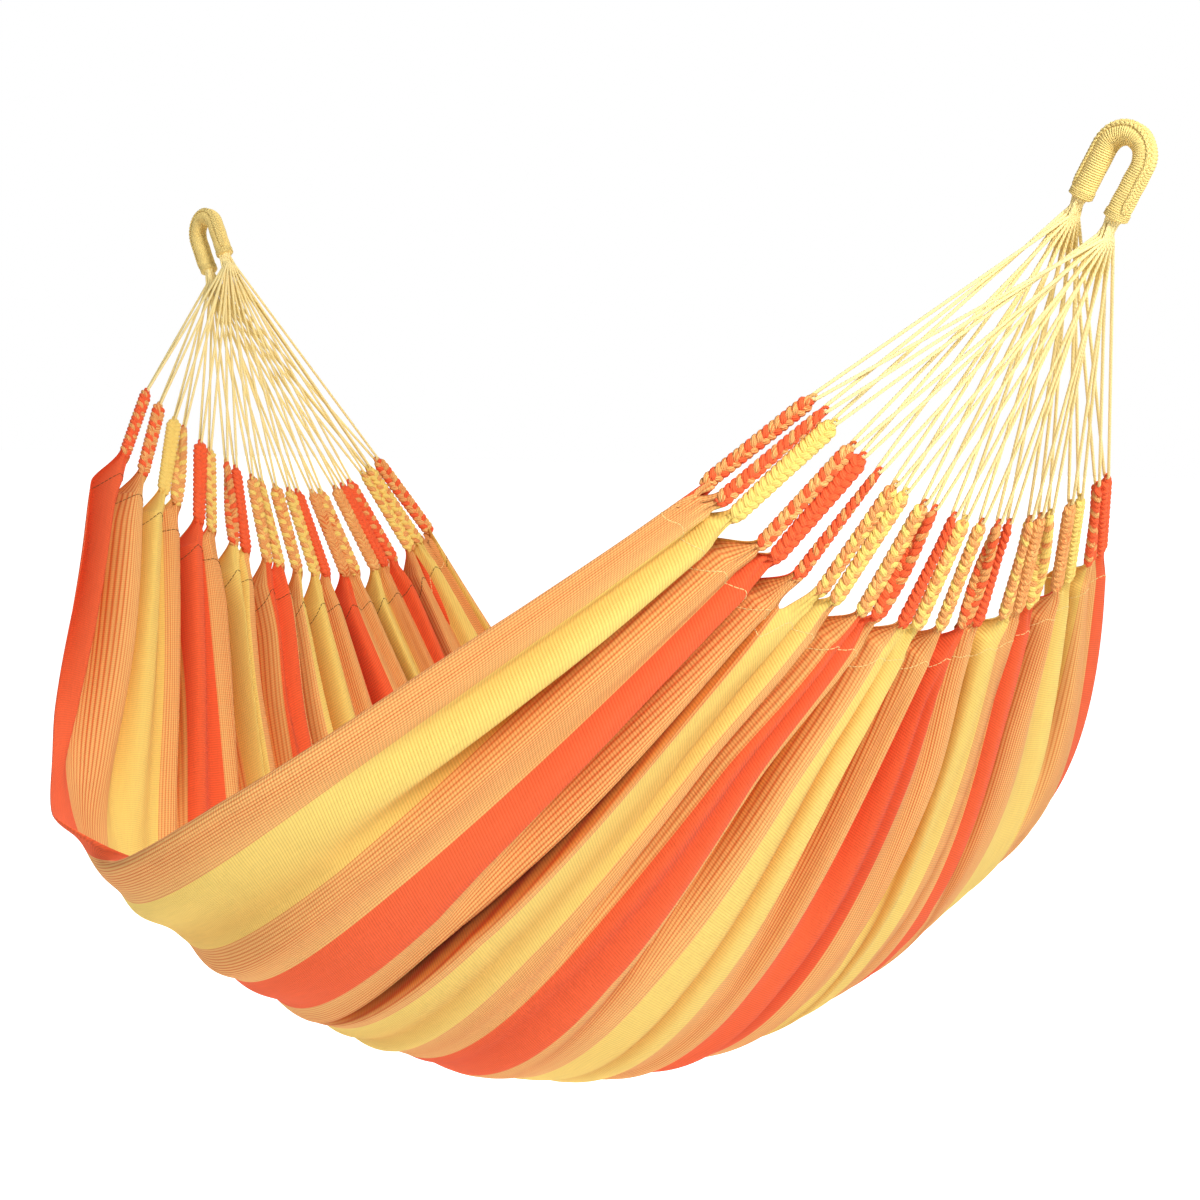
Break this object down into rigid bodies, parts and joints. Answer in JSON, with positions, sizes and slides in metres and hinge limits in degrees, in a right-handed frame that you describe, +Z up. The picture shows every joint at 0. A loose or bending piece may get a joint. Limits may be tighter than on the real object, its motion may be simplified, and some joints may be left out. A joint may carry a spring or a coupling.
{
  "type": "woven hammock",
  "caption": "Striped cotton hammock hanging open, with plaited cloth ends, fanned suspension cords and a whipped rope eye at each end.",
  "frame": {"origin": "Where the left eye rests on its hook: the middle of the inside of its crown.", "axes": "+X runs level from the left hook to the right hook, +Z is up, and -Y is the front side, whose cloth edge faces the viewer."},
  "size_m": [1.7529, 1.6048, 1.2516],
  "materials": {
    "striped_cloth": "matt woven cotton in coral, orange and pale yellow stripes",
    "braid_red": "matt plaited cotton warp ends",
    "braid_orange": "matt plaited cotton warp ends",
    "braid_yellow": "matt plaited cotton warp ends",
    "clew_cord": "matt twisted cotton cord",
    "whipping_cord": "matt fine cotton cord, tightly wound",
    "stitch_thread": "matt sewing thread"
  },
  "bodies": {
    "eye_left": {"eye_core_left": "clew_cord", "eye_whipping_left": "whipping_cord", "eye_ridge_left": "whipping_cord", "eye_binding_left_upper": "whipping_cord", "eye_binding_left_lower": "whipping_cord"},
    "hammock": {"bed_cloth": "striped_cloth", "clew_cords_left": "clew_cord", "hem_stitch_left": "stitch_thread", "braid_left_01": "braid_red", "braid_left_02": "braid_yellow", "braid_left_03": "braid_orange", "braid_left_04": "braid_red", "braid_left_05": "braid_orange", "braid_left_06": "braid_yellow", "braid_left_07": "braid_orange", "braid_left_08": "braid_orange", "braid_left_09": "braid_red", "braid_left_10": "braid_orange", "braid_left_11": "braid_yellow", "braid_left_12": "braid_orange", "braid_left_13": "braid_orange", "braid_left_14": "braid_red", "braid_left_15": "braid_orange", "braid_left_16": "braid_yellow", "braid_left_17": "braid_orange", "braid_left_18": "braid_red", "braid_left_19": "braid_orange", "braid_left_20": "braid_yellow", "braid_left_21": "braid_orange", "braid_left_22": "braid_red", "clew_cords_right": "clew_cord", "hem_stitch_right": "stitch_thread", "braid_right_01": "braid_red", "braid_right_02": "braid_yellow", "braid_right_03": "braid_orange", "braid_right_04": "braid_red", "braid_right_05": "braid_orange", "braid_right_06": "braid_yellow", "braid_right_07": "braid_orange", "braid_right_08": "braid_orange", "braid_right_09": "braid_red", "braid_right_10": "braid_orange", "braid_right_11": "braid_yellow", "braid_right_12": "braid_orange", "braid_right_13": "braid_orange", "braid_right_14": "braid_red", "braid_right_15": "braid_orange", "braid_right_16": "braid_yellow", "braid_right_17": "braid_orange", "braid_right_18": "braid_red", "braid_right_19": "braid_orange", "braid_right_20": "braid_yellow", "braid_right_21": "braid_orange", "braid_right_22": "braid_red"},
    "eye_right": {"eye_core_right": "clew_cord", "eye_whipping_right": "whipping_cord", "eye_ridge_right": "whipping_cord", "eye_binding_right_upper": "whipping_cord", "eye_binding_right_lower": "whipping_cord"}
  },
  "joints": [
    {"name": "swing", "type": "hinge", "parent": "eye_left", "child": "hammock", "pos_m": [0.0373, 0, -0.0646], "axis": [1, 0, 0], "range_deg": [-25, 25]},
    {"name": "right_eye_hang", "type": "hinge", "parent": "hammock", "child": "eye_right", "pos_m": [1.64126, 0, -0.0646], "axis": [1, 0, 0], "range_deg": [-25, 25]}
  ],
  "couplings": [
    {"joint": "right_eye_hang", "follows": "swing", "ratio": -1}
  ]
}
